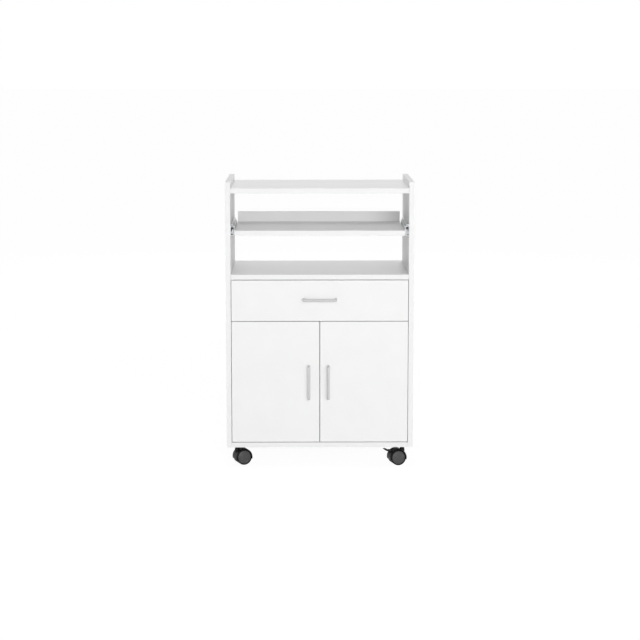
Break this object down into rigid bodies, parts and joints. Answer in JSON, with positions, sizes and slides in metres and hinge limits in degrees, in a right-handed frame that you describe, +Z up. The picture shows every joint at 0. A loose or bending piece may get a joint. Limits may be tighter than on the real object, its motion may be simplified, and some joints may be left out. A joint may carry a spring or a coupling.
{
  "type": "microwave cart",
  "caption": "White board cabinet on swivel casters with a top shelf between raised sides, a pull-out shelf, a drawer and two doors with bar handles.",
  "frame": {"origin": "Centre of the bounding box in plan, on the floor under the casters.", "axes": "+X to the right seen from the front, +Y to the back, +Z up."},
  "size_m": [0.6, 0.4312, 0.92],
  "materials": {
    "white_melamine_board": "satin white melamine with white edge banding",
    "white_hardboard": "thin white-faced hardboard",
    "satin_silver_bar": "satin silver",
    "zinc_plated_steel": "bright zinc plating",
    "black_plastic": "black moulded plastic with a soft sheen",
    "grey_wheel_plastic": "dark grey moulded plastic"
  },
  "bodies": {
    "cabinet": {"left_side_panel": "white_melamine_board", "right_side_panel": "white_melamine_board", "top_shelf": "white_melamine_board", "deck_panel": "white_melamine_board", "bottom_panel": "white_melamine_board", "back_panel": "white_hardboard", "inner_shelf": "white_melamine_board", "pullout_left_slide_rail": "zinc_plated_steel", "pullout_right_slide_rail": "zinc_plated_steel", "drawer_left_slide_rail": "zinc_plated_steel", "drawer_right_slide_rail": "zinc_plated_steel", "left_lower_hinge_arm": "zinc_plated_steel", "left_upper_hinge_arm": "zinc_plated_steel", "right_lower_hinge_arm": "zinc_plated_steel", "right_upper_hinge_arm": "zinc_plated_steel", "front_left_caster_stem": "zinc_plated_steel", "front_right_caster_stem": "zinc_plated_steel", "rear_left_caster_stem": "zinc_plated_steel", "rear_right_caster_stem": "zinc_plated_steel"},
    "pullout": {"pullout_shelf": "white_melamine_board", "pullout_rear_lip": "white_melamine_board", "pullout_left_slide_runner": "zinc_plated_steel", "pullout_right_slide_runner": "zinc_plated_steel"},
    "drawer": {"drawer_front": "white_melamine_board", "drawer_left_side": "white_melamine_board", "drawer_right_side": "white_melamine_board", "drawer_back": "white_melamine_board", "drawer_bottom": "white_hardboard", "drawer_handle": "satin_silver_bar", "drawer_left_slide_runner": "zinc_plated_steel", "drawer_right_slide_runner": "zinc_plated_steel"},
    "left_hinge_links": {"left_lower_hinge_link": "zinc_plated_steel", "left_upper_hinge_link": "zinc_plated_steel"},
    "left_door_leaf": {"left_door": "white_melamine_board", "left_door_handle": "satin_silver_bar", "left_lower_hinge_cup": "zinc_plated_steel", "left_upper_hinge_cup": "zinc_plated_steel"},
    "right_hinge_links": {"right_lower_hinge_link": "zinc_plated_steel", "right_upper_hinge_link": "zinc_plated_steel"},
    "right_door_leaf": {"right_door": "white_melamine_board", "right_door_handle": "satin_silver_bar", "right_lower_hinge_cup": "zinc_plated_steel", "right_upper_hinge_cup": "zinc_plated_steel"},
    "front_left_swivel": {"front_left_caster_housing": "black_plastic", "front_left_caster_axle": "zinc_plated_steel"},
    "front_left_left_wheel": {"front_left_caster_left_wheel": "grey_wheel_plastic"},
    "front_left_right_wheel": {"front_left_caster_right_wheel": "grey_wheel_plastic"},
    "front_right_swivel": {"front_right_caster_housing": "black_plastic", "front_right_caster_axle": "zinc_plated_steel"},
    "front_right_left_wheel": {"front_right_caster_left_wheel": "grey_wheel_plastic"},
    "front_right_right_wheel": {"front_right_caster_right_wheel": "grey_wheel_plastic"},
    "rear_left_swivel": {"rear_left_caster_housing": "black_plastic", "rear_left_caster_axle": "zinc_plated_steel"},
    "rear_left_left_wheel": {"rear_left_caster_left_wheel": "grey_wheel_plastic"},
    "rear_left_right_wheel": {"rear_left_caster_right_wheel": "grey_wheel_plastic"},
    "rear_right_swivel": {"rear_right_caster_housing": "black_plastic", "rear_right_caster_axle": "zinc_plated_steel"},
    "rear_right_left_wheel": {"rear_right_caster_left_wheel": "grey_wheel_plastic"},
    "rear_right_right_wheel": {"rear_right_caster_right_wheel": "grey_wheel_plastic"},
    "brake_lever": {"front_right_caster_brake_lever": "black_plastic"}
  },
  "joints": [
    {"name": "pullout_slide", "type": "slide", "parent": "cabinet", "child": "pullout", "axis": [0, -1, 0], "range_m": [0, 0.19]},
    {"name": "drawer_slide", "type": "slide", "parent": "cabinet", "child": "drawer", "axis": [0, -1, 0], "range_m": [0, 0.25]},
    {"name": "left_hinge_link_turn", "type": "hinge", "parent": "cabinet", "child": "left_hinge_links", "pos_m": [-0.24475, -0.16562, 0.278], "axis": [0, 0, 1], "range_deg": [0, 49.25]},
    {"name": "left_door_swing", "type": "hinge", "parent": "left_hinge_links", "child": "left_door_leaf", "pos_m": [-0.274, -0.17538, 0.278], "axis": [0, 0, -1], "range_deg": [0, 143.25]},
    {"name": "right_hinge_link_turn", "type": "hinge", "parent": "cabinet", "child": "right_hinge_links", "pos_m": [0.24475, -0.16562, 0.278], "axis": [0, 0, -1], "range_deg": [0, 49.25]},
    {"name": "right_door_swing", "type": "hinge", "parent": "right_hinge_links", "child": "right_door_leaf", "pos_m": [0.274, -0.17538, 0.278], "axis": [0, 0, 1], "range_deg": [0, 143.25]},
    {"name": "front_left_swivel_turn", "type": "hinge", "parent": "cabinet", "child": "front_left_swivel", "pos_m": [-0.268, -0.14663, 0.064], "axis": [0, 0, 1], "continuous": true},
    {"name": "front_left_left_wheel_spin", "type": "hinge", "parent": "front_left_swivel", "child": "front_left_left_wheel", "pos_m": [-0.2512, -0.14017, 0.025], "axis": [-0.3584, 0.9336, 0], "continuous": true},
    {"name": "front_left_right_wheel_spin", "type": "hinge", "parent": "front_left_swivel", "child": "front_left_right_wheel", "pos_m": [-0.2512, -0.14017, 0.025], "axis": [-0.3584, 0.9336, 0], "continuous": true},
    {"name": "front_right_swivel_turn", "type": "hinge", "parent": "cabinet", "child": "front_right_swivel", "pos_m": [0.268, -0.14663, 0.064], "axis": [0, 0, 1], "continuous": true},
    {"name": "front_right_left_wheel_spin", "type": "hinge", "parent": "front_right_swivel", "child": "front_right_left_wheel", "pos_m": [0.25066, -0.15143, 0.025], "axis": [0.2672, -0.9636, 0], "continuous": true},
    {"name": "front_right_right_wheel_spin", "type": "hinge", "parent": "front_right_swivel", "child": "front_right_right_wheel", "pos_m": [0.25066, -0.15143, 0.025], "axis": [0.2672, -0.9636, 0], "continuous": true},
    {"name": "rear_left_swivel_turn", "type": "hinge", "parent": "cabinet", "child": "rear_left_swivel", "pos_m": [-0.268, 0.17137, 0.064], "axis": [0, 0, 1], "continuous": true},
    {"name": "rear_left_left_wheel_spin", "type": "hinge", "parent": "rear_left_swivel", "child": "rear_left_left_wheel", "pos_m": [-0.25273, 0.18091, 0.025], "axis": [-0.5299, 0.848, 0], "continuous": true},
    {"name": "rear_left_right_wheel_spin", "type": "hinge", "parent": "rear_left_swivel", "child": "rear_left_right_wheel", "pos_m": [-0.25273, 0.18091, 0.025], "axis": [-0.5299, 0.848, 0], "continuous": true},
    {"name": "rear_right_swivel_turn", "type": "hinge", "parent": "cabinet", "child": "rear_right_swivel", "pos_m": [0.268, 0.17137, 0.064], "axis": [0, 0, 1], "continuous": true},
    {"name": "rear_right_left_wheel_spin", "type": "hinge", "parent": "rear_right_swivel", "child": "rear_right_left_wheel", "pos_m": [0.2507, 0.17634, 0.025], "axis": [-0.2756, -0.9613, 0], "continuous": true},
    {"name": "rear_right_right_wheel_spin", "type": "hinge", "parent": "rear_right_swivel", "child": "rear_right_right_wheel", "pos_m": [0.2507, 0.17634, 0.025], "axis": [-0.2756, -0.9613, 0], "continuous": true},
    {"name": "brake_lever_press", "type": "hinge", "parent": "front_right_swivel", "child": "brake_lever", "pos_m": [0.22953, -0.15729, 0.04474], "axis": [0.2672, -0.9636, 0], "range_deg": [0, 18]}
  ],
  "couplings": [
    {"joint": "left_hinge_link_turn", "follows": "left_door_swing", "ratio": 0.3438},
    {"joint": "right_hinge_link_turn", "follows": "right_door_swing", "ratio": 0.3438}
  ]
}
